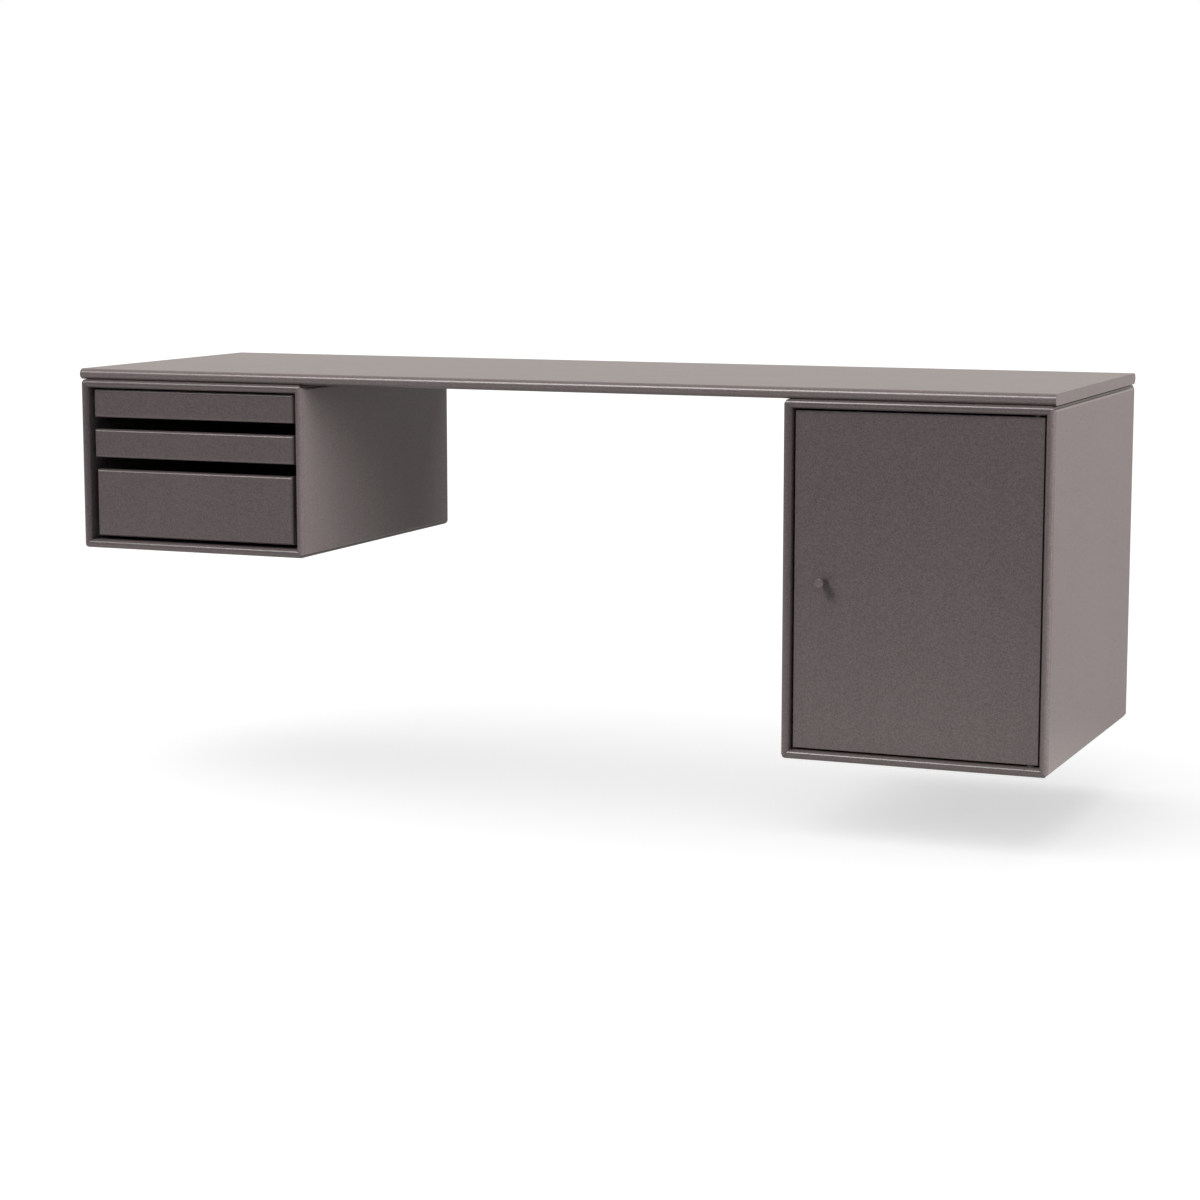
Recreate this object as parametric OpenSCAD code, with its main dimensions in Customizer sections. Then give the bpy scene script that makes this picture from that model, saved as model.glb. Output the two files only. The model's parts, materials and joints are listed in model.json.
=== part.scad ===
// Floating wall desk: one thin top on two hanging modules, a low one with two trays and a drawer
// and a taller cupboard. The wall is the plane y = 0, the front faces -Y, and z = 0 is the line
// of the wall screws. Each module is drawn about its own middle, with its top plane at z = 0.

/* [Desk] */
// Overall width
desk_w = 1404; // [1260:1:1600]
// Depth from the wall to the front edges
desk_d = 468; // [450:1:520]
// Thickness of the desk top
top_t = 15; // [13:0.5:20]
// Room between the hooks and the modules' top boards
hook_room = 1.5; // [1:0.1:6]

/* [Modules] */
// Width of each module
module_w = 354; // [330:1:400]
// Height of the drawer module
drawer_module_h = 240; // [236:1:280]
// Height of the cupboard
cupboard_h = 468; // [400:1:600]
// Thickness of the frame boards
board_t = 12; // [11.5:0.5:14]
// Rounding of a top or bottom board's ends
flat_end_r = 4.5; // [4:0.1:5]
// Rounding of a side board's ends
side_end_r = 2.7; // [2:0.1:3.5]
// Thickness of the back panels
back_t = 6; // [4:0.5:8]
// Setting of the back panels in from the wall
back_set = 20; // [20:0.5:30]
// Depth of the grooves that hold the back panels
back_groove = 5; // [3:0.5:6]

/* [Fronts] */
// Thickness of the fronts and the door
front_t = 12; // [11:0.5:14]
// Setting of the fronts back from the frame's front edges
front_set = 8; // [6.5:0.5:12]
// Gap over the upper tray front
first_gap = 2; // [1.5:0.5:4]
// Height of a tray front
tray_front_h = 40; // [38:1:44]
// Finger gap under each tray front
finger_gap = 17; // [15:1:20]
// Gap under the drawer front
last_gap = 5; // [3:0.5:6]
// Gap beside a tray
tray_gap = 5; // [4.5:0.1:5.5]
// Gap beside the drawer front
drawer_gap = 7.5; // [5:0.5:9]
// Gap round the door
door_gap = 2.5; // [2.5:0.1:3.5]
// Rounding of the tray and drawer fronts
front_r = 3.5; // [1.5:0.1:4.5]
// Rounding of the door
door_r = 1; // [0.5:0.1:2]

/* [Knob] */
// Diameter at its front
knob_d = 12; // [11:0.5:16]
// Diameter at the door
knob_base_d = 10; // [10:0.5:12]
// Length
knob_l = 20; // [16:1:26]
// Distance of the knob from the door's free edge
knob_in = 40; // [30:1:60]

/* [Trays and drawer] */
// Thickness of the box sides and backs
box_t = 10; // [10:0.5:12]
// Thickness of the box bases
base_t = 4; // [3:0.5:5]
// Room behind the boxes
rear_room = 12; // [8:1:20]
// Height of the drawer box
drawer_box_h = 70; // [55:1:72]
// Length of a tray that stays in the module when it is out
tray_stay = 110; // [80:5:180]
// Length of rail that stays in the module when the drawer is out
rail_stay = 85; // [60:5:140]

/* [Cupboard] */
// Thickness of the shelf
shelf_t = 12; // [10:0.5:16]
// Pitch of the shelf pin holes
pin_pitch = 32; // [25:1:40]

/* [Hidden] */
$fn = 64;

lacquer = [0.39, 0.355, 0.35];
steel = [0.75, 0.76, 0.77];
coated = [0.85, 0.85, 0.84];
nylon = [0.88, 0.88, 0.86];
beech = [0.80, 0.66, 0.48];
black = [0.12, 0.12, 0.12];

// Overrun of every cut, and the play of glued or screwed pieces in their holes
over = 1;
play = 0.05;
// Gap at a stop, and running gap between pieces that roll
stop_gap = 0.3;
roll_gap = 0.25;

// Wall rail: a folded strip with a raised lip
rail_t = 2;
rail_low = 14;
rail_bend_z = 8;
lip_gap = 6;
lip_h = 10;
rail_end = 5;
wall_hole_d = 6;
wall_hole_out = 114;
lip_top = rail_bend_z + lip_gap + lip_h;
fold = rail_t * tan(45 / 2);
hook_t = 2.5;

// Places that follow from the sizes above
hang_h = lip_top + hook_t + hook_room + board_t;
module_x = (desk_w - module_w) / 2;
in_w = module_w - 2 * board_t;
front_y = -desk_d + front_set;
behind_y = front_y + front_t;
back_y = -back_set - back_t;
box_rear_y = back_y - rear_room;
box_l = box_rear_y - behind_y;
tray_travel = box_l - tray_stay;
upper_z = -board_t - first_gap;
lower_z = upper_z - tray_front_h - finger_gap;
drawer_z = lower_z - tray_front_h - finger_gap;
drawer_front_h = drawer_module_h + drawer_z - board_t - last_gap;

// Dowels across the mitres
dowel_d = 5;
dowel_l = 12;
dowel_in = 50;
dowel_ys = [-dowel_in, -desk_d / 2, -desk_d + dowel_in];

// Wood screws with countersunk heads
screw_d = 3.5;
screw_head_d = 7;
screw_head_h = 2;
screw_slot_l = 4.4;
screw_slot_w = 0.9;
screw_slot_h = 1;
screw_tip = 2.5;
short_screw_l = 12;
top_screw_bite = 10;
top_screw_l = board_t + top_screw_bite;
top_screw_side_in = 44;
top_screw_end_in = 64;
top_screw_ys = [-top_screw_end_in, -desk_d + top_screw_end_in];

// Hook brackets on the rail
hook_w = 30;
hook_play = 0.4;
tongue_l = 7;
hook_back_y = -lip_gap - rail_t - hook_play;
hook_front_y = -back_set + hook_play;
hook_screw_y = (hook_back_y - hook_t - back_set) / 2;
hook_screw_drop = 12;
hook_screw_low = 4;
hook_screw_zs = [lip_top - hook_screw_drop, -hook_screw_low];

// Tray boxes and the nylon strips that they run on
tray_side_drop = 4;
base_rise = 3;
base_groove = 4;
tray_w = in_w - 2 * tray_gap;
tray_base_z = -tray_front_h + tray_side_drop + base_rise;
runner_h = 8;
runner_in = 4;
runner_drop = 16;
runner_play = 0.5;
runner_rear = 20;
runner_taper = 2;
runner_taper_l = 12;
runner_l = back_y - runner_rear - behind_y;
lug_w = 3.4;
lug_l = 6;
lug_h = 6;
lug_lead = 2;
peg_d = 5;
peg_out = 3.4;
peg_in = 4;
peg_rise = 4;
peg_z = -runner_drop + peg_rise;
peg_y = lug_l + tray_travel + stop_gap + peg_d / 2;
runner_screw_l = 16;
runner_screw_in = 40;
runner_screw_ys = [runner_screw_in, runner_l / 2, runner_l - runner_screw_in];

// Drawer box and its roller runners; the channel's floor is where the rear rollers roll
runner_w = 12.5;
sheet_t = 1.2;
channel_h = 20;
channel_w = 10.2;
channel_rise = 4;
drawer_box_rise = 7;
drawer_base_rise = 10;
rail_set = 4;
rail_rear_room = 40;
rail_step = 50;
drawer_w = in_w - 2 * drawer_gap;
drawer_box_w = in_w - 2 * runner_w;
channel_z = -drawer_module_h + board_t + channel_rise;
floor_z = channel_z + sheet_t;
drawer_box_z = channel_z + drawer_box_rise;
drawer_base_z = drawer_box_z + drawer_base_rise;
roller_w = 6;
roller_out = 3;
roller_play = 0.2;
roller_chamfer = 0.6;
roller_dish = 1;
roller_hub_r = 4.2;
roller_rim_t = 2;
axle_r = 2.5;
axle_play = 0.05;
shoulder_r = 4;
rivet_t = 0.8;
roller_in = 12;
rear_roller_r = channel_h / 2 - roll_gap;
front_roller_r = (channel_h - sheet_t - 3 * roll_gap) / 2;
rear_roller_z = floor_z + roll_gap + rear_roller_r;
front_roller_z = floor_z + roll_gap + front_roller_r;
wing_z = front_roller_z + front_roller_r + roll_gap;
wing_clear = 2;
fixed_rail_y = behind_y + rail_set;
moving_rail_y = behind_y + stop_gap;
rail_l = floor((back_y - rail_rear_room - fixed_rail_y) / rail_step) * rail_step;
drawer_travel = rail_l - rail_stay;
front_roller_y = fixed_rail_y + roller_in;
rear_roller_y = moving_rail_y + rail_l - roller_in;
stop_tab = 3;
tab_reach = sqrt(pow(rear_roller_r, 2) - pow(rear_roller_r + roll_gap - stop_tab, 2));
tab_y = rear_roller_y - drawer_travel - tab_reach - stop_gap - stop_tab;
rail_screw_in = 50;
rail_screw_rear = 30;
fixed_screw_ys = [rail_screw_in, rail_l / 2, rail_l - rail_screw_rear];
moving_screw_ys = [rail_screw_in, rail_l - rail_screw_in];
moving_screw_rise = 5;
moving_screw_spare = 1;
moving_screw_l = box_t - moving_screw_spare;

// Shelf and its pins
shelf_set = 12;
shelf_play = 0.5;
shelf_r = 2;
pin_d = 5;
pin_head_d = 7;
pin_in = 8;
pin_out = 7;
pin_row_in = 50;
pin_margin = 90;
pin_steps = floor((cupboard_h / 2 - pin_margin) / pin_pitch);
shelf_low = -cupboard_h / 2 - shelf_t / 2;
shelf_front_y = behind_y + shelf_set;
shelf_d = back_y - shelf_play - shelf_front_y;
pin_z = shelf_low - pin_head_d / 2;
pin_ys = [shelf_front_y + pin_row_in, back_y - pin_row_in];

// Door, its pivots and its knob
door_w = in_w - 2 * door_gap;
door_h = cupboard_h - 2 * board_t - 2 * door_gap;
door_top = -board_t - door_gap;
pivot_in = 10;
pivot_x = in_w / 2 - door_gap - pivot_in;
pivot_y = front_y + front_t / 2;
hinge_pin_d = 5;
hinge_pin_run = 0.05;
pin_in_door = 20;
pin_in_bush = 5;
bush_d = 8;
bush_l = 8;
flange_d = 12;
flange_t = 1;
knob_x = -door_w / 2 + knob_in;
knob_edge_r = 1;
knob_screw_d = 4;
knob_screw_play = 0.2;
knob_screw_head_d = 8;
knob_screw_head_h = 2.4;
knob_screw_in = 10;

// Magnetic catch and its strike plate
catch_drop = 90;
catch_w = 14;
catch_d = 15;
catch_l = 34;
catch_ear_t = 4;
catch_ear_l = 10;
magnet_l = 28;
magnet_w = 8;
magnet_d = 10;
magnet_side = 4;
magnet_out = 0.5;
strike_l = 34;
strike_w = 12;
strike_t = 1.5;
strike_in = 0.5;
catch_z = -board_t - catch_drop;
magnet_y = behind_y + strike_t;
catch_y = magnet_y + magnet_out;
catch_screw_zs = [-catch_l / 2 - catch_ear_l / 2, catch_l / 2 + catch_ear_l / 2];

// Quarter of a disc, in the first quadrant
module quarter(r) {
    intersection() {
        circle(r);
        square(r);
    }
}

// Section of a board whose two long edges are fully rounded, over -d..0 and -t..0
module round_edged(d, t) {
    translate([-d + t / 2, -t]) square([d - t, t]);
    translate([-d + t / 2, -t / 2]) circle(d = t);
    translate([-t / 2, -t / 2]) circle(d = t);
}

// Section of a panel whose two front corners are rounded, over -l/2..l/2 and -t..0
module front_rounded(l, t, r) {
    translate([-l / 2, -t + r]) square([l, t - r]);
    translate([-l / 2 + r, -t]) square([l - 2 * r, t]);
    for (s = [-1, 1]) translate([s * (l / 2 - r), -t + r]) circle(r);
}

// Carry an outline in (y, z) along X, and one in (x, z) along -Y
module along_x(l) { rotate([90, 0, 90]) linear_extrude(l) children(); }
module along_y(l) { rotate([90, 0, 0]) linear_extrude(l) children(); }

// Rod along X that starts at x = 0
module rod_x(r, l) { rotate([0, 90, 0]) cylinder(r = r, h = l); }

// Stand a piece in its module, on its left or right side, or on both
module at_drawers() { translate([-module_x, 0, hang_h]) children(); }
module at_cupboard() { translate([module_x, 0, hang_h]) children(); }
module right() { mirror([1, 0, 0]) children(); }
module both() { for (s = [0, 1]) mirror([s, 0, 0]) children(); }

// Screw with its head's face at z = 0 and its point down
module wood_screw(l) {
    difference() {
        rotate_extrude() polygon([
            [0, 0], [screw_head_d / 2, 0], [screw_d / 2, -screw_head_h],
            [screw_d / 2, -l + screw_tip], [0, -l]
        ]);
        for (a = [0, 90]) rotate(a) translate([-screw_slot_l / 2, -screw_slot_w / 2, -screw_slot_h])
            cube([screw_slot_l, screw_slot_w, screw_slot_h + over]);
    }
}

// The room that a screw needs, with its head flush and a little play round its shank
module screw_room(l) {
    rotate_extrude() polygon([
        [0, over], [screw_head_d / 2, over], [screw_head_d / 2, 0],
        [screw_d / 2 + play, -screw_head_h], [screw_d / 2 + play, -l - play], [0, -l - play]
    ]);
}

// Frame boards. A top board's rounded ends stand over the sides, and mitres run to the inner corners
module flat_board_outline() {
    end = module_w / 2;
    low = end - side_end_r - flat_end_r;
    polygon([
        [-low, 0], [low, 0], [low, -flat_end_r], [end - flat_end_r, -flat_end_r],
        [end - board_t, -board_t], [-end + board_t, -board_t],
        [-end + flat_end_r, -flat_end_r], [-low, -flat_end_r]
    ]);
    for (s = [0, 1]) mirror([s, 0]) translate([low, -flat_end_r]) quarter(flat_end_r);
}

// Outline of the left side board, between the ends of the top and bottom boards
module side_board_outline(h) {
    end = -module_w / 2;
    shoulder = -flat_end_r - side_end_r;
    for (s = [0, 1]) translate([0, -h / 2]) mirror([0, s]) translate([0, h / 2]) {
        polygon([
            [end, -h / 2], [end, shoulder], [end + side_end_r, shoulder],
            [end + side_end_r, -flat_end_r], [end + flat_end_r, -flat_end_r],
            [end + board_t, -board_t], [end + board_t, -h / 2]
        ]);
        translate([end + side_end_r, shoulder]) mirror([1, 0]) quarter(side_end_r);
    }
}

// Back panel of a module, with its edges in the grooves, and the room for it
module back_panel(h, p) {
    w = in_w + 2 * back_groove - 2 * p;
    translate([-w / 2, back_y, -h + board_t - back_groove + p])
        cube([w, back_t, h - 2 * (board_t - back_groove) - 2 * p]);
}

// Each dowel across the mitres of a module
module at_dowels(h) {
    middle = (flat_end_r + board_t) / 2;
    both() for (s = [0, 1])
        translate([0, 0, -h / 2]) mirror([0, 0, s]) translate([0, 0, h / 2]) for (y = dowel_ys)
            translate([module_w / 2 - middle, y, -middle]) rotate([0, 135, 0]) children();
}

module dowel(p) { cylinder(d = dowel_d + 2 * p, h = dowel_l + 2 * p, center = true); }

// Top board of a module, before its screw holes
module flat_board(h) {
    difference() {
        intersection() {
            translate([-module_w / 2, 0, 0]) along_x(module_w) round_edged(desk_d, board_t);
            along_y(desk_d) flat_board_outline();
        }
        back_panel(h, 0);
        at_dowels(h) dowel(play);
    }
}

// Left side board of a module, before its screw holes
module side_board(h) {
    difference() {
        intersection() {
            translate([-module_w / 2, 0, -h]) linear_extrude(h) rotate(90) round_edged(desk_d, board_t);
            along_y(desk_d) side_board_outline(h);
        }
        back_panel(h, 0);
        at_dowels(h) dowel(play);
    }
}

// Turns a top board over into the bottom board of a module
module turned_over(h) { translate([0, 0, -h]) mirror([0, 0, 1]) children(); }

// Places of the screws, each with its head up and its point down the local z
module at_top_screws() {
    both() for (y = top_screw_ys)
        translate([in_w / 2 - top_screw_side_in, y, -board_t]) mirror([0, 0, 1]) children();
}

module at_hook_screws() {
    for (z = hook_screw_zs) translate([-in_w / 2 + hook_t, hook_screw_y, z - hang_h])
        rotate([0, 90, 0]) children();
}

module at_runner_screws(z) {
    for (y = runner_screw_ys)
        translate([-tray_w / 2 + runner_in, behind_y + y, z - runner_drop - runner_h / 2])
            rotate([0, 90, 0]) children();
}

module at_fixed_rail_screws() {
    for (y = fixed_screw_ys)
        translate([-in_w / 2 + sheet_t, fixed_rail_y + y, floor_z + channel_h / 2])
            rotate([0, 90, 0]) children();
}

module at_moving_rail_screws() {
    for (y = moving_screw_ys)
        translate([-drawer_box_w / 2 - sheet_t, moving_rail_y + y, drawer_box_z + moving_screw_rise])
            rotate([0, -90, 0]) children();
}

module at_catch_screws() {
    for (z = catch_screw_zs)
        translate([-in_w / 2 + catch_ear_t, catch_y + catch_d / 2, catch_z + z])
            rotate([0, 90, 0]) children();
}

// Desk top
module desk_top() {
    color(lacquer) difference() {
        translate([-desk_w / 2, 0, hang_h + top_t]) along_x(desk_w) round_edged(desk_d, top_t);
        at_drawers() at_top_screws() screw_room(top_screw_l);
        at_cupboard() at_top_screws() screw_room(top_screw_l);
    }
}

module desk_top_screws() {
    color(steel) {
        at_drawers() at_top_screws() wood_screw(top_screw_l);
        at_cupboard() at_top_screws() wood_screw(top_screw_l);
    }
}

// Frame of the drawer module
module drawer_module_top() {
    color(lacquer) at_drawers() difference() {
        flat_board(drawer_module_h);
        at_top_screws() screw_room(top_screw_l);
    }
}

module drawer_module_bottom() {
    color(lacquer) at_drawers() turned_over(drawer_module_h) flat_board(drawer_module_h);
}

module drawer_module_side() {
    difference() {
        side_board(drawer_module_h);
        at_hook_screws() screw_room(short_screw_l);
        at_fixed_rail_screws() screw_room(short_screw_l);
        for (z = [upper_z, lower_z]) at_runner_screws(z) screw_room(runner_screw_l);
    }
}

module drawer_module_left_side() { color(lacquer) at_drawers() drawer_module_side(); }
module drawer_module_right_side() { color(lacquer) at_drawers() right() drawer_module_side(); }
module drawer_module_back() { color(lacquer) at_drawers() back_panel(drawer_module_h, play); }

// Frame of the cupboard
module hinge_bush_room() {
    translate([pivot_x, pivot_y, -board_t - over]) cylinder(d = bush_d, h = bush_l + over);
}

module cupboard_top() {
    color(lacquer) at_cupboard() difference() {
        flat_board(cupboard_h);
        at_top_screws() screw_room(top_screw_l);
        hinge_bush_room();
    }
}

module cupboard_bottom() {
    color(lacquer) at_cupboard() turned_over(cupboard_h) difference() {
        flat_board(cupboard_h);
        hinge_bush_room();
    }
}

module cupboard_side() {
    difference() {
        side_board(cupboard_h);
        at_hook_screws() screw_room(short_screw_l);
        for (y = pin_ys) for (k = [-pin_steps : pin_steps])
            translate([-in_w / 2 - pin_in, y, pin_z + k * pin_pitch])
                rod_x(pin_d / 2 + play, pin_in + over);
    }
}

module cupboard_left_side() {
    color(lacquer) at_cupboard() difference() {
        cupboard_side();
        at_catch_screws() screw_room(short_screw_l);
    }
}

module cupboard_right_side() { color(lacquer) at_cupboard() right() cupboard_side(); }
module cupboard_back() { color(lacquer) at_cupboard() back_panel(cupboard_h, play); }

module corner_dowels() {
    color(beech) {
        at_drawers() at_dowels(drawer_module_h) dowel(0);
        at_cupboard() at_dowels(cupboard_h) dowel(0);
    }
}

// Shelf with an eased front edge, on four stepped pins
module cupboard_shelf() {
    w = in_w - 2 * shelf_play;
    color(lacquer) at_cupboard()
        translate([-w / 2, shelf_front_y + shelf_d, shelf_low + shelf_t / 2])
            along_x(w) rotate(-90) front_rounded(shelf_t, shelf_d, shelf_r);
}

module shelf_pins() {
    color(steel) at_cupboard() both() for (y = pin_ys) translate([-in_w / 2, y, pin_z]) {
        translate([-pin_in, 0, 0]) rod_x(pin_d / 2, pin_in + pin_out);
        rod_x(pin_head_d / 2, pin_out);
    }
}

// Wall rails
module wall_rail_outline() {
    polygon([
        [0, -rail_low], [0, rail_bend_z], [-lip_gap, rail_bend_z + lip_gap], [-lip_gap, lip_top],
        [-lip_gap - rail_t, lip_top], [-lip_gap - rail_t, rail_bend_z + lip_gap - fold],
        [-rail_t, rail_bend_z - fold], [-rail_t, -rail_low]
    ]);
}

module wall_rail() {
    l = in_w - 2 * rail_end;
    difference() {
        translate([-l / 2, 0, 0]) along_x(l) wall_rail_outline();
        for (s = [-1, 1]) translate([s * wall_hole_out, over, 0]) rotate([90, 0, 0])
            cylinder(d = wall_hole_d, h = rail_t + 2 * over);
    }
}

module drawer_module_wall_rail() { color(steel) translate([-module_x, 0, 0]) wall_rail(); }
module cupboard_wall_rail() { color(steel) translate([module_x, 0, 0]) wall_rail(); }

// Hook over the rail's lip: a tongue behind it, a web on it and a leg in front of it
module hook_outline() {
    tongue_y = -lip_gap + hook_play;
    polygon([
        [tongue_y, lip_top - tongue_l], [tongue_y + hook_t, lip_top - tongue_l],
        [tongue_y + hook_t, lip_top + hook_t], [hook_back_y - hook_t, lip_top + hook_t],
        [hook_back_y - hook_t, -rail_low], [hook_back_y, -rail_low],
        [hook_back_y, lip_top], [tongue_y, lip_top]
    ]);
}

module hangers() {
    both() difference() {
        translate([-in_w / 2, 0, 0]) {
            along_x(hook_w) hook_outline();
            translate([0, hook_front_y, -rail_low])
                cube([hook_t, hook_back_y - hook_front_y, rail_low + lip_top + hook_t]);
        }
        translate([0, 0, hang_h]) at_hook_screws() screw_room(short_screw_l);
    }
}

module drawer_module_hangers() { color(steel) translate([-module_x, 0, 0]) hangers(); }
module cupboard_hangers() { color(steel) translate([module_x, 0, 0]) hangers(); }

module short_screws() {
    color(steel) {
        at_drawers() both() at_hook_screws() wood_screw(short_screw_l);
        at_drawers() both() at_fixed_rail_screws() wood_screw(short_screw_l);
        at_cupboard() both() at_hook_screws() wood_screw(short_screw_l);
        at_cupboard() at_catch_screws() wood_screw(short_screw_l);
    }
}

// Front panel with rounded outer arrises, its back at y = 0 and its top edge at z = 0
module front_panel(w, h, r) {
    intersection() {
        translate([0, 0, -h]) linear_extrude(h) front_rounded(w, front_t, r);
        translate([-w / 2, 0, -h / 2]) along_x(w) rotate(-90) front_rounded(h, front_t, r);
    }
}

// Trays, each drawn down from the top edge of its front at height z
module tray_front(z) {
    w = tray_w - 2 * box_t + 2 * base_groove;
    translate([0, behind_y, z]) difference() {
        front_panel(tray_w, tray_front_h, front_r);
        translate([-w / 2, -base_groove, tray_base_z]) cube([w, base_groove + over, base_t]);
    }
}

module tray_side(z) {
    h = tray_front_h - 2 * tray_side_drop;
    translate([-tray_w / 2, behind_y, z]) difference() {
        translate([0, 0, -tray_side_drop - h]) cube([box_t, box_l, h]);
        translate([-over, -over, -runner_drop - runner_h - runner_play])
            cube([runner_in + runner_play + over, box_l + 2 * over, runner_h + runner_play]);
        translate([box_t - base_groove, -over, tray_base_z])
            cube([base_groove + over, box_l + 2 * over, base_t]);
        translate([-over, peg_y, peg_z]) rod_x(peg_d / 2 + play, peg_in + over + play);
    }
}

module tray_back(z) {
    low = tray_base_z + base_t;
    translate([-tray_w / 2 + box_t, box_rear_y - box_t, z + low])
        cube([tray_w - 2 * box_t, box_t, -tray_side_drop - low]);
}

module tray_base(z) {
    w = tray_w - 2 * box_t + 2 * base_groove - 2 * play;
    translate([-w / 2, behind_y - base_groove + play, z + tray_base_z])
        cube([w, box_l + base_groove - play, base_t]);
}

module tray_stop_pegs(z) {
    both() translate([-tray_w / 2 - peg_out, behind_y + peg_y, z + peg_z])
        rod_x(peg_d / 2, peg_out + peg_in);
}

// Strip on the module's left side that fills the tray's groove, with a tapered rear end and a stop lug
module tray_runner(z) {
    w = tray_gap + runner_in;
    difference() {
        translate([-in_w / 2, behind_y, z - runner_drop]) {
            along_x(w) polygon([
                [0, -runner_h], [runner_l - runner_taper_l, -runner_h],
                [runner_l, -runner_h + runner_taper], [runner_l, -runner_taper],
                [runner_l - runner_taper_l, 0], [0, 0]
            ]);
            along_x(lug_w) polygon([
                [0, 0], [lug_l, 0], [lug_l, lug_h], [lug_lead, lug_h], [0, lug_h - lug_lead]
            ]);
        }
        at_runner_screws(z) screw_room(runner_screw_l);
    }
}

module upper_tray_left_runner() { color(nylon) at_drawers() tray_runner(upper_z); }
module upper_tray_right_runner() { color(nylon) at_drawers() right() tray_runner(upper_z); }
module lower_tray_left_runner() { color(nylon) at_drawers() tray_runner(lower_z); }
module lower_tray_right_runner() { color(nylon) at_drawers() right() tray_runner(lower_z); }

module tray_runner_screws() {
    color(steel) at_drawers() both() for (z = [upper_z, lower_z])
        at_runner_screws(z) wood_screw(runner_screw_l);
}

module upper_tray_front() { color(lacquer) at_drawers() tray_front(upper_z); }
module upper_tray_left_side() { color(lacquer) at_drawers() tray_side(upper_z); }
module upper_tray_right_side() { color(lacquer) at_drawers() right() tray_side(upper_z); }
module upper_tray_back() { color(lacquer) at_drawers() tray_back(upper_z); }
module upper_tray_base() { color(lacquer) at_drawers() tray_base(upper_z); }
module upper_tray_stop_pegs() { color(steel) at_drawers() tray_stop_pegs(upper_z); }

module lower_tray_front() { color(lacquer) at_drawers() tray_front(lower_z); }
module lower_tray_left_side() { color(lacquer) at_drawers() tray_side(lower_z); }
module lower_tray_right_side() { color(lacquer) at_drawers() right() tray_side(lower_z); }
module lower_tray_back() { color(lacquer) at_drawers() tray_back(lower_z); }
module lower_tray_base() { color(lacquer) at_drawers() tray_base(lower_z); }
module lower_tray_stop_pegs() { color(steel) at_drawers() tray_stop_pegs(lower_z); }

// Drawer box
module drawer_front() {
    w = drawer_box_w - 2 * box_t + 2 * base_groove;
    color(lacquer) at_drawers() difference() {
        translate([0, behind_y, drawer_z]) front_panel(drawer_w, drawer_front_h, front_r);
        translate([-w / 2, behind_y - base_groove, drawer_base_z])
            cube([w, base_groove + over, base_t]);
    }
}

module drawer_side() {
    difference() {
        translate([-drawer_box_w / 2, behind_y, drawer_box_z]) difference() {
            cube([box_t, box_l, drawer_box_h]);
            translate([box_t - base_groove, -over, drawer_base_rise])
                cube([base_groove + over, box_l + 2 * over, base_t]);
        }
        at_moving_rail_screws() screw_room(moving_screw_l);
    }
}

module drawer_left_side() { color(lacquer) at_drawers() drawer_side(); }
module drawer_right_side() { color(lacquer) at_drawers() right() drawer_side(); }

module drawer_back() {
    color(lacquer) at_drawers()
        translate([-drawer_box_w / 2 + box_t, box_rear_y - box_t, drawer_base_z + base_t])
            cube([drawer_box_w - 2 * box_t, box_t, drawer_box_h - drawer_base_rise - base_t]);
}

module drawer_base() {
    w = drawer_box_w - 2 * box_t + 2 * base_groove - 2 * play;
    color(lacquer) at_drawers() translate([-w / 2, behind_y - base_groove + play, drawer_base_z])
        cube([w, box_l + base_groove - play, base_t]);
}

// Axle riveted into a rail: a shoulder, the axle and its head, which hold a roller between them
module axle() {
    shoulder = roller_out - roller_play;
    rod_x(shoulder_r, shoulder);
    rod_x(axle_r, roller_out + roller_w + roller_play + rivet_t);
    translate([roller_out + roller_w + roller_play, 0, 0]) rod_x(shoulder_r, rivet_t);
}

// Left fixed rail: a channel open to the drawer, with its axle and a stop tab on its floor
module fixed_rail() {
    ceiling = floor_z + channel_h;
    difference() {
        translate([-in_w / 2, 0, 0]) {
            translate([0, fixed_rail_y + rail_l, 0]) along_y(rail_l) polygon([
                [0, channel_z], [channel_w, channel_z], [channel_w, floor_z], [sheet_t, floor_z],
                [sheet_t, ceiling], [channel_w, ceiling], [channel_w, ceiling + sheet_t],
                [0, ceiling + sheet_t]
            ]);
            translate([0, front_roller_y, front_roller_z]) axle();
            translate([0, tab_y, channel_z]) cube([channel_w, stop_tab, sheet_t + stop_tab]);
        }
        at_fixed_rail_screws() screw_room(short_screw_l);
    }
}

// Left moving rail: a ledge under the drawer's side, and a wing that runs over the front roller
module moving_rail() {
    web = runner_w - sheet_t;
    wing_l = rear_roller_y - rear_roller_r - wing_clear - moving_rail_y;
    difference() {
        translate([-in_w / 2, moving_rail_y, 0]) {
            translate([0, rail_l, 0]) along_y(rail_l) polygon([
                [web, drawer_box_z - sheet_t], [runner_w + box_t, drawer_box_z - sheet_t],
                [runner_w + box_t, drawer_box_z], [runner_w, drawer_box_z],
                [runner_w, wing_z + sheet_t], [web, wing_z + sheet_t]
            ]);
            translate([roller_out, 0, wing_z]) cube([web - roller_out, wing_l, sheet_t]);
            translate([runner_w, rear_roller_y - moving_rail_y, rear_roller_z]) right() axle();
        }
        at_moving_rail_screws() screw_room(moving_screw_l);
    }
}

module drawer_left_fixed_rail() { color(coated) at_drawers() fixed_rail(); }
module drawer_right_fixed_rail() { color(coated) at_drawers() right() fixed_rail(); }
module drawer_left_moving_rail() { color(coated) at_drawers() moving_rail(); }
module drawer_right_moving_rail() { color(coated) at_drawers() right() moving_rail(); }

module moving_rail_screws() {
    color(steel) at_drawers() both() at_moving_rail_screws() wood_screw(moving_screw_l);
}

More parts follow.
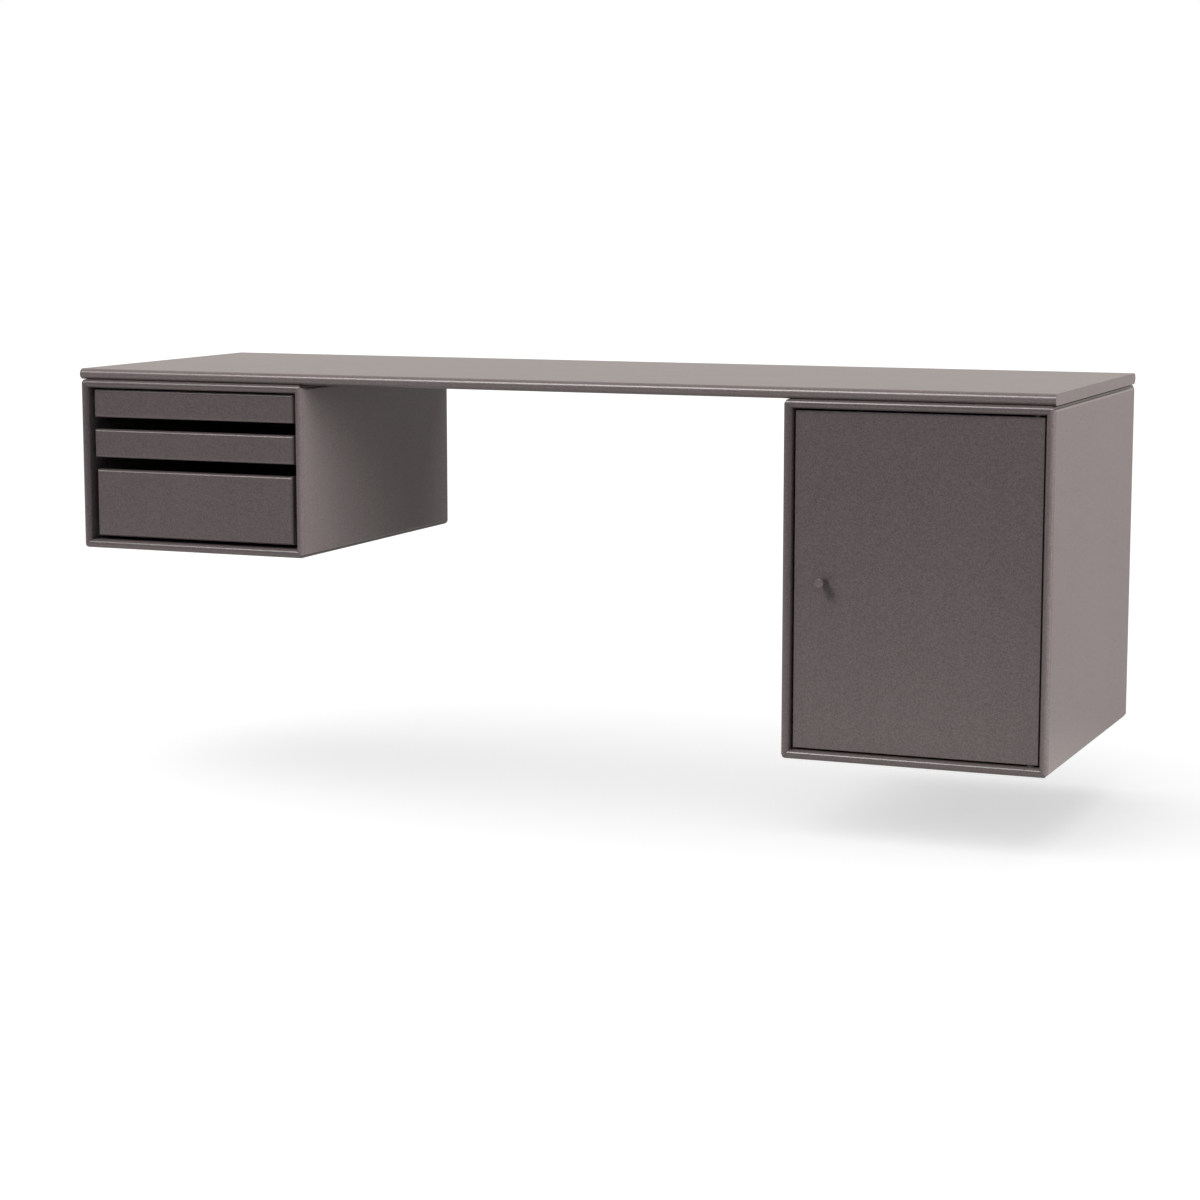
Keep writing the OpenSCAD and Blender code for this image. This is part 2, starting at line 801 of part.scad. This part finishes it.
// Nylon roller along X with dished faces
module roller(r) {
    rim = r - roller_rim_t;
    bore = axle_r + axle_play;
    rotate([0, 90, 0]) rotate_extrude() polygon([
        [bore, 0], [roller_hub_r, 0], [roller_hub_r, roller_dish], [rim, roller_dish], [rim, 0],
        [r - roller_chamfer, 0], [r, roller_chamfer], [r, roller_w - roller_chamfer],
        [r - roller_chamfer, roller_w], [rim, roller_w], [rim, roller_w - roller_dish],
        [roller_hub_r, roller_w - roller_dish], [roller_hub_r, roller_w], [bore, roller_w]
    ]);
}

module drawer_front_rollers() {
    color(nylon) at_drawers() both()
        translate([-in_w / 2 + roller_out, front_roller_y, front_roller_z]) roller(front_roller_r);
}

module drawer_rear_rollers() {
    x = -in_w / 2 + runner_w - roller_out - roller_w;
    color(nylon) at_drawers() both()
        translate([x, rear_roller_y, rear_roller_z]) roller(rear_roller_r);
}

// Hinge bushes: the lower one's flange fills the gap and carries the door
module hinge_bush(flange) {
    bore = hinge_pin_d / 2 + hinge_pin_run;
    translate([pivot_x, pivot_y, -board_t]) rotate_extrude() polygon([
        [bore, -flange], [flange_d / 2, -flange], [flange_d / 2, 0], [bush_d / 2, 0],
        [bush_d / 2, bush_l], [bore, bush_l]
    ]);
}

module upper_hinge_bush() { color(nylon) at_cupboard() hinge_bush(flange_t); }

module lower_hinge_bush() {
    color(nylon) at_cupboard() turned_over(cupboard_h) hinge_bush(door_gap);
}

// Pivot pin in the door's top edge
module hinge_pin(p) {
    translate([pivot_x, pivot_y, door_top - pin_in_door - p])
        cylinder(d = hinge_pin_d + 2 * p, h = pin_in_door + door_gap + pin_in_bush + p);
}

module upper_hinge_pin() { color(steel) at_cupboard() hinge_pin(0); }
module lower_hinge_pin() { color(steel) at_cupboard() turned_over(cupboard_h) hinge_pin(0); }

// Rod along -Y from the door's back, where the knob's screw goes
module at_knob() { translate([knob_x, behind_y, -cupboard_h / 2]) rotate([90, 0, 0]) children(); }

module door() {
    color(lacquer) at_cupboard() difference() {
        translate([0, behind_y, door_top]) front_panel(door_w, door_h, door_r);
        hinge_pin(play);
        turned_over(cupboard_h) hinge_pin(play);
        at_knob() translate([0, 0, -over])
            cylinder(d = knob_screw_d + 2 * knob_screw_play, h = front_t + 2 * over);
    }
}

// Knob that widens towards its front, with an eased edge
module door_knob() {
    r = knob_d / 2;
    color(lacquer) at_cupboard() at_knob() translate([0, 0, front_t]) difference() {
        rotate_extrude() {
            polygon([
                [0, 0], [knob_base_d / 2, 0], [r, knob_l - knob_edge_r],
                [r - knob_edge_r, knob_l - knob_edge_r], [r - knob_edge_r, knob_l], [0, knob_l]
            ]);
            translate([r - knob_edge_r, knob_l - knob_edge_r]) quarter(knob_edge_r);
        }
        translate([0, 0, -over])
            cylinder(d = knob_screw_d + 2 * play, h = knob_screw_in + over + play);
    }
}

module knob_screw() {
    color(steel) at_cupboard() at_knob() {
        cylinder(d = knob_screw_d, h = front_t + knob_screw_in);
        translate([0, 0, -knob_screw_head_h]) difference() {
            cylinder(d = knob_screw_head_d, h = knob_screw_head_h);
            for (a = [0, 90]) rotate(a) translate([-screw_slot_l / 2, -screw_slot_w / 2, -over])
                cube([screw_slot_l, screw_slot_w, screw_slot_h + over]);
        }
    }
}

// Magnetic catch on the cupboard's left side, and its strike plate on the door's back
module catch_body() {
    ears = catch_l + 2 * catch_ear_l;
    color(black) at_cupboard() difference() {
        translate([-in_w / 2, catch_y, catch_z]) difference() {
            union() {
                translate([0, 0, -catch_l / 2]) cube([catch_w, catch_d, catch_l]);
                translate([0, 0, -ears / 2]) cube([catch_ear_t, catch_d, ears]);
            }
            translate([magnet_side, -over, -magnet_l / 2])
                cube([magnet_w, magnet_d - magnet_out + over, magnet_l]);
        }
        at_catch_screws() screw_room(short_screw_l);
    }
}

module catch_magnet() {
    color(steel) at_cupboard() translate([-in_w / 2 + magnet_side, magnet_y, catch_z - magnet_l / 2])
        cube([magnet_w, magnet_d, magnet_l]);
}

module strike_plate() {
    color(steel) at_cupboard()
        translate([-door_w / 2 + strike_in, behind_y, catch_z - strike_l / 2])
            cube([strike_w, strike_t, strike_l]);
}

desk_top();
desk_top_screws();
drawer_module_top();
drawer_module_bottom();
drawer_module_left_side();
drawer_module_right_side();
drawer_module_back();
cupboard_top();
cupboard_bottom();
cupboard_left_side();
cupboard_right_side();
cupboard_back();
corner_dowels();
cupboard_shelf();
shelf_pins();
drawer_module_wall_rail();
cupboard_wall_rail();
drawer_module_hangers();
cupboard_hangers();
short_screws();
upper_tray_left_runner();
upper_tray_right_runner();
lower_tray_left_runner();
lower_tray_right_runner();
tray_runner_screws();
drawer_left_fixed_rail();
drawer_right_fixed_rail();
drawer_front_rollers();
upper_tray_front();
upper_tray_left_side();
upper_tray_right_side();
upper_tray_back();
upper_tray_base();
upper_tray_stop_pegs();
lower_tray_front();
lower_tray_left_side();
lower_tray_right_side();
lower_tray_back();
lower_tray_base();
lower_tray_stop_pegs();
drawer_front();
drawer_left_side();
drawer_right_side();
drawer_back();
drawer_base();
drawer_left_moving_rail();
drawer_right_moving_rail();
moving_rail_screws();
drawer_rear_rollers();
upper_hinge_bush();
lower_hinge_bush();
catch_body();
catch_magnet();
door();
door_knob();
knob_screw();
upper_hinge_pin();
lower_hinge_pin();
strike_plate();
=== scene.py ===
import json
import math

import bpy
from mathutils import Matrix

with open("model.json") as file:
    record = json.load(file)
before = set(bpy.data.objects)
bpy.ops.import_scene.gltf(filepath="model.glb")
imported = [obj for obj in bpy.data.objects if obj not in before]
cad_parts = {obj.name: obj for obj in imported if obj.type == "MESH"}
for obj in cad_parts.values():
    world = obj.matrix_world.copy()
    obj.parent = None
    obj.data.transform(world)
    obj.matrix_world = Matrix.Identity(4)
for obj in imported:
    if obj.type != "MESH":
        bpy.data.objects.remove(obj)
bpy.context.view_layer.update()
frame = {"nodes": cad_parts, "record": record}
nodes = frame["nodes"]
scene = bpy.context.scene
print("desk loaded:", len(nodes), "pieces")

# camera: where the photograph was taken from, with its long lens
cameraPlace = {
    "position": (1.5215, -3.9290, 0.2938),
    "tilt": 81.984,  # degrees up from straight down
    "turn": 22.40,   # degrees left of square to the wall
    "lens": 85.6,
    "farthest": 100,
}
cameraData = bpy.data.cameras.new("camera")
cameraData.lens = cameraPlace["lens"]
cameraData.clip_end = cameraPlace["farthest"]
cameraObject = bpy.data.objects.new("camera", cameraData)
cameraObject.location = cameraPlace["position"]
cameraObject.rotation_euler = (math.radians(cameraPlace["tilt"]), 0, math.radians(cameraPlace["turn"]))
scene.collection.objects.link(cameraObject)
scene.camera = cameraObject
scene.view_settings.view_transform = "Standard"
print("camera placed")


# small helpers for shader nodes: a value may be a number, a colour or another node's socket

def plug(tree, socket, value):
    if isinstance(value, bpy.types.NodeSocket):
        tree.links.new(value, socket)
    elif isinstance(value, (tuple, list)) and socket.type == "RGBA":
        socket.default_value = (*value[:3], 1)
    else:
        socket.default_value = value


def mathNode(tree, operation, first, second=0.0, third=0.0, clamp=False):
    node = tree.nodes.new("ShaderNodeMath")
    node.operation = operation
    node.use_clamp = clamp
    for socket, value in zip(node.inputs, (first, second, third)):
        plug(tree, socket, value)
    return node.outputs[0]


def rangeNode(tree, value, low, high, toLow, toHigh):
    node = tree.nodes.new("ShaderNodeMapRange")
    for name, number in (("Value", value), ("From Min", low), ("From Max", high),
                         ("To Min", toLow), ("To Max", toHigh)):
        plug(tree, node.inputs[name], number)
    return node.outputs["Result"]


def noiseNode(tree, vector, scale, detail=2.0, roughness=0.5):
    node = tree.nodes.new("ShaderNodeTexNoise")
    for name, number in (("Vector", vector), ("Scale", scale), ("Detail", detail), ("Roughness", roughness)):
        plug(tree, node.inputs[name], number)
    return node.outputs["Fac"]


def stretched(tree, vector, scale, turn=(0, 0, 0)):
    node = tree.nodes.new("ShaderNodeMapping")
    plug(tree, node.inputs["Vector"], vector)
    node.inputs["Scale"].default_value = scale
    node.inputs["Rotation"].default_value = [math.radians(angle) for angle in turn]
    return node.outputs["Vector"]


def mixColours(tree, mask, first, second):
    node = tree.nodes.new("ShaderNodeMix")
    node.data_type = "RGBA"
    sockets = [socket for socket in node.inputs if socket.enabled]
    for socket, value in zip(sockets, (mask, first, second)):
        plug(tree, socket, value)
    return next(socket for socket in node.outputs if socket.enabled)


def shaded(tree, colour, level):
    node = tree.nodes.new("ShaderNodeVectorMath")
    node.operation = "SCALE"
    plug(tree, node.inputs[0], colour)
    plug(tree, node.inputs["Scale"], level)
    return node.outputs["Vector"]


def newGroup(name, inputs, outputs):
    tree = bpy.data.node_groups.new(name, "ShaderNodeTree")
    for label, default in inputs:
        kind = "NodeSocketVector" if default is None else "NodeSocketFloat"
        socket = tree.interface.new_socket(label, in_out="INPUT", socket_type=kind)
        if default is not None:
            socket.default_value = default
    for label, kind in outputs:
        tree.interface.new_socket(label, in_out="OUTPUT", socket_type=kind)
    return tree, tree.nodes.new("NodeGroupInput").outputs, tree.nodes.new("NodeGroupOutput").inputs


def placeGroup(tree, group, **values):
    node = tree.nodes.new("ShaderNodeGroup")
    node.node_tree = group
    for name, value in values.items():
        plug(tree, node.inputs[name.replace("_", " ")], value)
    return node.outputs


# effects that several finishes share; a noise's pair is its detail and its roughness
edgeShape = {
    "samples": 6,
    "flat": 0.99,               # how well the averaged and the plain normal agree off the edges
    "turned": 0.75,             # and where an edge counts in full
}
grainShape = {
    "speckle": (3.0, 0.7),
    "clouds": (2.0, 0.5),
    "cloudScale": 4.0,
    "streaks": (2.0, 0.55),
    "smears": (4.0, 0.6),
    "smearScale": 17.0,
    "peel": (1.0, 0.5),
    "speckleRise": 0.35,        # how much of the speckle stands up in the relief
}
patternNoise = {"scale": 1.0, "detail": 3.0, "roughness": 0.6}


def makeEasedEdge():
    # the normal is averaged over a small radius, so a sharp edge reads as slightly eased;
    # the mask is 1 where that average turns away from the surface's own normal, which is at edges
    tree, given, out = newGroup("easedEdge", [("Radius", 0.0005), ("Wear", 0.5)],
                                [("Mask", "NodeSocketFloat"), ("Normal", "NodeSocketVector")])
    bevel = tree.nodes.new("ShaderNodeBevel")
    bevel.samples = edgeShape["samples"]
    plug(tree, bevel.inputs["Radius"], given["Radius"])
    surface = tree.nodes.new("ShaderNodeNewGeometry")
    dot = tree.nodes.new("ShaderNodeVectorMath")
    dot.operation = "DOT_PRODUCT"
    plug(tree, dot.inputs[0], bevel.outputs["Normal"])
    plug(tree, dot.inputs[1], surface.outputs["Normal"])
    turned = rangeNode(tree, dot.outputs["Value"], edgeShape["flat"], edgeShape["turned"], 0.0, 1.0)
    plug(tree, out["Mask"], mathNode(tree, "MULTIPLY", turned, given["Wear"], clamp=True))
    plug(tree, out["Normal"], bevel.outputs["Normal"])
    return tree


def makeFineGrain():
    # tone = 1 + twice the speckle, cloud and streak noises, each centred on nought and weighed;
    # roughness wanders with broad smears; height is a soft orange peel with some speckle on it
    tree, given, out = newGroup(
        "fineGrain",
        [("Vector", None), ("Streak Vector", None), ("Grain Scale", 500.0), ("Speckle", 0.2), ("Clouds", 0.04),
         ("Streaks", 0.02), ("Roughness", 0.4), ("Spread", 0.05), ("Peel Scale", 260.0)],
        [("Tone", "NodeSocketFloat"), ("Roughness", "NodeSocketFloat"), ("Height", "NodeSocketFloat")])
    speckle = noiseNode(tree, given["Vector"], given["Grain Scale"], *grainShape["speckle"])
    clouds = noiseNode(tree, given["Vector"], grainShape["cloudScale"], *grainShape["clouds"])
    streaks = noiseNode(tree, given["Streak Vector"], 1.0, *grainShape["streaks"])
    smears = noiseNode(tree, given["Vector"], grainShape["smearScale"], *grainShape["smears"])
    peel = noiseNode(tree, given["Vector"], given["Peel Scale"], *grainShape["peel"])
    tone = 1.0
    for noise, weight in ((speckle, "Speckle"), (clouds, "Clouds"), (streaks, "Streaks")):
        centred = mathNode(tree, "MULTIPLY_ADD", noise, 2.0, -1.0)
        tone = mathNode(tree, "MULTIPLY_ADD", centred, given[weight], tone)
    plug(tree, out["Tone"], tone)
    wander = mathNode(tree, "MULTIPLY_ADD", smears, 2.0, -1.0)
    plug(tree, out["Roughness"], mathNode(tree, "MULTIPLY_ADD", wander, given["Spread"], given["Roughness"]))
    plug(tree, out["Height"], mathNode(tree, "MULTIPLY_ADD", speckle, grainShape["speckleRise"], peel))
    return tree


easedEdge = makeEasedEdge()
fineGrain = makeFineGrain()


def newFinish(name):
    material = bpy.data.materials.new(name)
    material.use_nodes = True
    tree = material.node_tree
    tree.nodes.clear()
    shader = tree.nodes.new("ShaderNodeBsdfPrincipled")
    output = tree.nodes.new("ShaderNodeOutputMaterial")
    tree.links.new(shader.outputs[0], output.inputs["Surface"])
    place = tree.nodes.new("ShaderNodeTexCoord").outputs["Object"]
    return material, tree, shader, place


def relief(tree, shader, height, depth, normal):
    bump = tree.nodes.new("ShaderNodeBump")
    bump.inputs["Strength"].default_value = 1.0
    bump.inputs["Distance"].default_value = depth
    plug(tree, bump.inputs["Height"], height)
    plug(tree, bump.inputs["Normal"], normal)
    plug(tree, shader.inputs["Normal"], bump.outputs["Normal"])


# one finish from its dictionary: base colour times the grain's tone, lighter or barer at the edges
def makeFinish(name, look, pattern=None):
    material, tree, shader, place = newFinish(name)
    streakPlace = stretched(tree, place, look["streakScale"], look.get("streakTurn", (0, 0, 0)))
    grain = placeGroup(tree, fineGrain, Vector=place, Streak_Vector=streakPlace, Grain_Scale=look["grainScale"],
                       Speckle=look["speckle"], Clouds=look["clouds"], Streaks=look["streaks"],
                       Roughness=look["roughness"], Spread=look["spread"], Peel_Scale=look["peelScale"])
    edge = placeGroup(tree, easedEdge, Radius=look["edgeRadius"], Wear=look["edgeWear"])
    base = look["colour"] if pattern is None else pattern(tree, place, look)
    worn = mixColours(tree, edge["Mask"], shaded(tree, base, grain["Tone"]), look["edgeColour"])
    plug(tree, shader.inputs["Base Color"], worn)
    plug(tree, shader.inputs["Roughness"], grain["Roughness"])
    relief(tree, shader, grain["Height"], look["depth"], edge["Normal"])
    shader.inputs["Metallic"].default_value = look.get("metallic", 0.0)
    shader.inputs["IOR"].default_value = look.get("ior", 1.5)
    return material


# satin lacquer on the boards and the fronts: a close speckle, and faint upright streaks in the colour tone that
# are painted reflection bands
lacquerLook = {
    "colour": (0.125, 0.103, 0.106), "edgeColour": (0.150, 0.127, 0.130), "edgeRadius": 0.0005, "edgeWear": 0.5,
    "roughness": 0.28, "spread": 0.015, "grainScale": 660.0, "speckle": 1.00, "clouds": 0.05,
    # the streaks here are painted reflection: faint upright bands of soft reflection put into the base colour
    "streaks": 0.05, "streakScale": (70, 70, 1.3), "peelScale": 300.0, "depth": 0.00001,
}

# the knob is turned and sprayed by itself, so its coat is smoother; its colour and edge colour are painted a
# shade lighter than the lacquer's, a painted highlight for the light its face catches
paintedLighterKnobLook = {**lacquerLook, "colour": (0.152, 0.128, 0.129), "edgeColour": (0.195, 0.168, 0.168), "speckle": 0.5}

# zinc plate on screws, pins, wall rails and hook brackets: small spangles and a bluish cast
platedLook = {
    "colour": (0.56, 0.58, 0.60), "darkColour": (0.48, 0.50, 0.53), "edgeColour": (0.68, 0.69, 0.70),
    "edgeRadius": 0.0003, "edgeWear": 0.6, "roughness": 0.36, "spread": 0.06, "grainScale": 900.0,
    "speckle": 0.08, "clouds": 0.06, "streaks": 0.08, "streakScale": (12, 900, 900), "peelScale": 900.0,
    "depth": 0.000003, "metallic": 1.0, "spangleScale": 300.0, "darkShare": 0.75,
}

# white epoxy coat on the drawer's rails, with grey rubbing lines where the rollers run
enamelLook = {
    "colour": (0.69, 0.69, 0.67), "trackColour": (0.42, 0.42, 0.41), "edgeColour": (0.55, 0.55, 0.54),
    "edgeRadius": 0.0003, "edgeWear": 0.5, "roughness": 0.36, "spread": 0.08, "grainScale": 700.0,
    "speckle": 0.05, "clouds": 0.03, "streaks": 0.04, "streakScale": (500, 3, 500), "peelScale": 420.0,
    "depth": 0.00003,
    "trackScale": (900, 2, 900), "trackBand": (0.60, 0.72), "trackShare": 0.35,
}

# natural nylon on the tray strips, rollers and hinge bushes: slightly uneven, with moulding flow lines
nylonLook = {
    "colour": (0.74, 0.74, 0.70), "edgeColour": (0.80, 0.80, 0.77), "edgeRadius": 0.0003, "edgeWear": 0.4,
    "roughness": 0.46, "spread": 0.06, "grainScale": 600.0, "speckle": 0.04, "clouds": 0.08,
    "streaks": 0.05, "streakScale": (260, 9, 260), "peelScale": 800.0, "depth": 0.00001, "ior": 1.53,
}

# the door's bushes are moulded from dark nylon, so they don't show in the gap round the door
bushLook = {**nylonLook, "colour": (0.045, 0.040, 0.041), "edgeColour": (0.07, 0.065, 0.066)}

# black moulded plastic of the magnetic catch, spark-textured
catchLook = {
    "colour": (0.016, 0.016, 0.017), "edgeColour": (0.045, 0.045, 0.046), "edgeRadius": 0.0003, "edgeWear": 0.6,
    "roughness": 0.52, "spread": 0.06, "grainScale": 1500.0, "speckle": 0.25, "clouds": 0.05,
    "streaks": 0.0, "streakScale": (1, 1, 1), "peelScale": 1900.0, "depth": 0.00004,
}

# beech dowels across the mitres: rays and pores along the grain
beechLook = {
    "colour": (0.60, 0.40, 0.21), "lateColour": (0.44, 0.26, 0.12), "edgeColour": (0.66, 0.47, 0.27),
    "edgeRadius": 0.0004, "edgeWear": 0.3, "roughness": 0.55, "spread": 0.06, "grainScale": 700.0,
    "speckle": 0.12, "clouds": 0.08, "streaks": 0.2, "streakScale": (900, 900, 30), "streakTurn": (0, 45, 0),
    "peelScale": 500.0, "depth": 0.00004,
    "ringScale": (260, 260, 14), "ringBand": (0.48, 0.62), "ringShare": 0.8,
}


def spangled(tree, place, look):
    # each Voronoi cell is one spangle and takes a shade between the dark and the plain plate
    cells = tree.nodes.new("ShaderNodeTexVoronoi")
    plug(tree, cells.inputs["Vector"], place)
    cells.inputs["Scale"].default_value = look["spangleScale"]
    pick = tree.nodes.new("ShaderNodeSeparateColor")
    plug(tree, pick.inputs[0], cells.outputs["Color"])
    share = mathNode(tree, "MULTIPLY", pick.outputs[0], look["darkShare"])
    return mixColours(tree, share, look["colour"], look["darkColour"])


def rubbed(tree, place, look):
    # long thin lines along the slide, kept only where the line noise is near its top
    lines = noiseNode(tree, stretched(tree, place, look["trackScale"]), **patternNoise)
    share = rangeNode(tree, lines, *look["trackBand"], 0.0, look["trackShare"])
    return mixColours(tree, share, look["colour"], look["trackColour"])


def ringed(tree, place, look):
    # late wood: thin darker bands across the dowel, waved by a noise along it
    bands = noiseNode(tree, stretched(tree, place, look["ringScale"], look["streakTurn"]), **patternNoise)
    share = rangeNode(tree, bands, *look["ringBand"], 0.0, look["ringShare"])
    return mixColours(tree, share, look["colour"], look["lateColour"])


finishes = {
    "lacquer": makeFinish("satinLacquer", lacquerLook),
    "plated_steel": makeFinish("zincPlate", platedLook, spangled),
    "coated_steel": makeFinish("whiteEnamel", enamelLook, rubbed),
    "nylon": makeFinish("naturalNylon", nylonLook),
    "catch_plastic": makeFinish("blackCatch", catchLook),
    "beech": makeFinish("turnedBeech", beechLook, ringed),
}
darkNylon = makeFinish("darkNylon", bushLook)
# pieces whose finish isn't the plain one of their material
ownFinishes = {
    # the knob's finish is a lighter copy of the lacquer, which carries its painted highlight
    "door_knob": makeFinish("paintedLighterKnob", paintedLighterKnobLook),
    "upper_hinge_bush": darkNylon,
    "lower_hinge_bush": darkNylon,
}
for part in frame["record"]["subparts"]:
    piece = nodes[part["node"]]
    piece.data.materials.clear()
    piece.data.materials.append(ownFinishes.get(part["node"], finishes[part["material_slot"]]))

# stage: a pale floor under the desk and white surroundings, dimmer on the camera's side of the room
stageLook = {
    "floorHeight": -0.53,
    "floorHalf": 30.0,
    "floorColour": 0.8,
    "floorMirrored": 0.62,      # the floor's colour as gloss sees it
    "floorLift": 0.57,          # added to what the camera sees, so that the open floor is just white
    "nearGloss": 0.7,           # added to what gloss sees of the floor before the desk,
    "nearFrom": -0.3,           # in full up to here and not at all from nearTo on
    "nearTo": 0.5,
    "dimFrom": -1.2,            # in front of here the floor grows dimmer for what it gives the desk
    "dimTo": -3.4,
    "dimLeast": 0.0,
    "ambientFront": 0.45,       # what the surroundings give to matt surfaces, from the camera's side
    "ambientBack": 0.05,        # and from behind the desk
    "mirrorFront": 0.1,         # what gloss sees on the camera's side of the room
    "mirrorBack": 0.735,        # and behind the desk, with a ramp between these two directions
    "mirrorFrom": -0.35,
    "mirrorTo": 0.25,
    "mirrorTint": (1.0, 0.945, 0.88),
}
# each lamp: degrees from the front towards the right, degrees above the horizon, apparent width, strength,
# and what it falls on: the floor, every piece of the desk, or only the top and the right-hand sides;
# the side lamp isn't mirrored, since it would burn out the rounded edges seen against it
lamps = {
    "leftSoft": {
        "turn": -28, "height": 41, "width": 20, "strength": 2.0, "tint": (1.0, 0.97, 0.94),
        "falls": "desk", "mirrored": True,
    },
    "sideSoft": {
        "turn": 80, "height": 20, "width": 40, "strength": 5.3, "tint": (1.0, 0.98, 0.96),
        "falls": "sides", "mirrored": False,
    },
    "floorKey": {
        "turn": -70, "height": 60, "width": 110, "strength": 1.5, "tint": (1.0, 1.0, 1.0),
        "falls": "floor", "mirrored": True,
    },
}


def seenDirectly(tree):
    path = tree.nodes.new("ShaderNodeLightPath")
    mirrored = mathNode(tree, "MAXIMUM", path.outputs["Is Glossy Ray"], path.outputs["Is Transmission Ray"])
    return path.outputs["Is Camera Ray"], mirrored


def makePaleFloor():
    material = bpy.data.materials.new("paleFloor")
    material.use_nodes = True
    tree = material.node_tree
    tree.nodes.clear()
    camera, mirrored = seenDirectly(tree)
    split = tree.nodes.new("ShaderNodeSeparateXYZ")
    plug(tree, split.inputs[0], tree.nodes.new("ShaderNodeTexCoord").outputs["Object"])
    dim = rangeNode(tree, split.outputs["Y"], stageLook["dimTo"], stageLook["dimFrom"],
                    stageLook["dimLeast"], 1.0)
    bright = mathNode(tree, "MAXIMUM", camera, dim)
    diffuse = tree.nodes.new("ShaderNodeBsdfDiffuse")
    paint = mixColours(tree, mirrored, [stageLook["floorColour"]] * 3,
                       [stageLook["floorMirrored"] * level for level in stageLook["mirrorTint"]])
    plug(tree, diffuse.inputs["Color"], shaded(tree, paint, bright))
    glow = tree.nodes.new("ShaderNodeEmission")
    plug(tree, glow.inputs["Color"], mixColours(tree, mirrored, (1, 1, 1), stageLook["mirrorTint"]))
    near = rangeNode(tree, split.outputs["Y"], stageLook["nearFrom"], stageLook["nearTo"],
                     stageLook["nearGloss"], 0.0)
    lift = mathNode(tree, "MULTIPLY", camera, stageLook["floorLift"])
    seen = mathNode(tree, "MULTIPLY_ADD", mirrored, near, lift)
    plug(tree, glow.inputs["Strength"], mathNode(tree, "MULTIPLY", seen, bright))
    both = tree.nodes.new("ShaderNodeAddShader")
    plug(tree, both.inputs[0], diffuse.outputs[0])
    plug(tree, both.inputs[1], glow.outputs[0])
    below = tree.nodes.new("ShaderNodeMixShader")  # seen from below the floor isn't there
    plug(tree, below.inputs[0], tree.nodes.new("ShaderNodeNewGeometry").outputs["Backfacing"])
    plug(tree, below.inputs[1], both.outputs[0])
    plug(tree, below.inputs[2], tree.nodes.new("ShaderNodeBsdfTransparent").outputs[0])
    plug(tree, tree.nodes.new("ShaderNodeOutputMaterial").inputs["Surface"], below.outputs[0])
    return material


def layFloor():
    half, height = stageLook["floorHalf"], stageLook["floorHeight"]
    mesh = bpy.data.meshes.new("floor")
    corners = [(-half, -half, height), (half, -half, height), (half, half, height), (-half, half, height)]
    mesh.from_pydata(corners, [], [(0, 1, 2, 3)])
    mesh.materials.append(makePaleFloor())
    floor = bpy.data.objects.new("floor", mesh)
    scene.collection.objects.link(floor)


def makeSurroundings():
    world = bpy.data.worlds.new("studio")
    scene.world = world
    world.use_nodes = True
    tree = world.node_tree
    tree.nodes.clear()
    camera, mirrored = seenDirectly(tree)
    split = tree.nodes.new("ShaderNodeSeparateXYZ")
    plug(tree, split.inputs[0], tree.nodes.new("ShaderNodeTexCoord").outputs["Generated"])
    room = tree.nodes.new("ShaderNodeBackground")
    room.inputs["Color"].default_value = (1, 1, 1, 1)
    ambient = rangeNode(tree, split.outputs["Y"], -1.0, 1.0,
                        stageLook["ambientFront"], stageLook["ambientBack"])
    plug(tree, room.inputs["Strength"], mathNode(tree, "MAXIMUM", camera, ambient))
    gloss = tree.nodes.new("ShaderNodeBackground")
    plug(tree, gloss.inputs["Color"], stageLook["mirrorTint"])
    mirror = rangeNode(tree, split.outputs["Y"], stageLook["mirrorFrom"], stageLook["mirrorTo"],
                       stageLook["mirrorFront"], stageLook["mirrorBack"])
    plug(tree, gloss.inputs["Strength"], mirror)
    pick = tree.nodes.new("ShaderNodeMixShader")
    plug(tree, pick.inputs[0], mirrored)
    plug(tree, pick.inputs[1], room.outputs[0])
    plug(tree, pick.inputs[2], gloss.outputs[0])
    plug(tree, tree.nodes.new("ShaderNodeOutputWorld").inputs["Surface"], pick.outputs[0])


def hangLamps():
    receivers = {
        "floor": [bpy.data.objects["floor"]],
        "sides": [piece for node, piece in nodes.items() if node.endswith("right_side") or node == "desk_top"],
    }
    for name, lamp in lamps.items():
        data = bpy.data.lights.new(name, "SUN")
        data.angle = math.radians(lamp["width"])
        data.energy = lamp["strength"]
        data.color = lamp["tint"]
        placed = bpy.data.objects.new(name, data)
        placed.rotation_euler = (math.radians(90 - lamp["height"]), 0, math.radians(lamp["turn"]))
        placed.visible_glossy = lamp["mirrored"]
        scene.collection.objects.link(placed)
        lit = bpy.data.collections.new(name + "Lit")
        for target in receivers.get(lamp["falls"], nodes.values()):
            lit.objects.link(target)
        placed.light_linking.receiver_collection = lit


layFloor()
makeSurroundings()
hangLamps()
print("stage and lamps set")
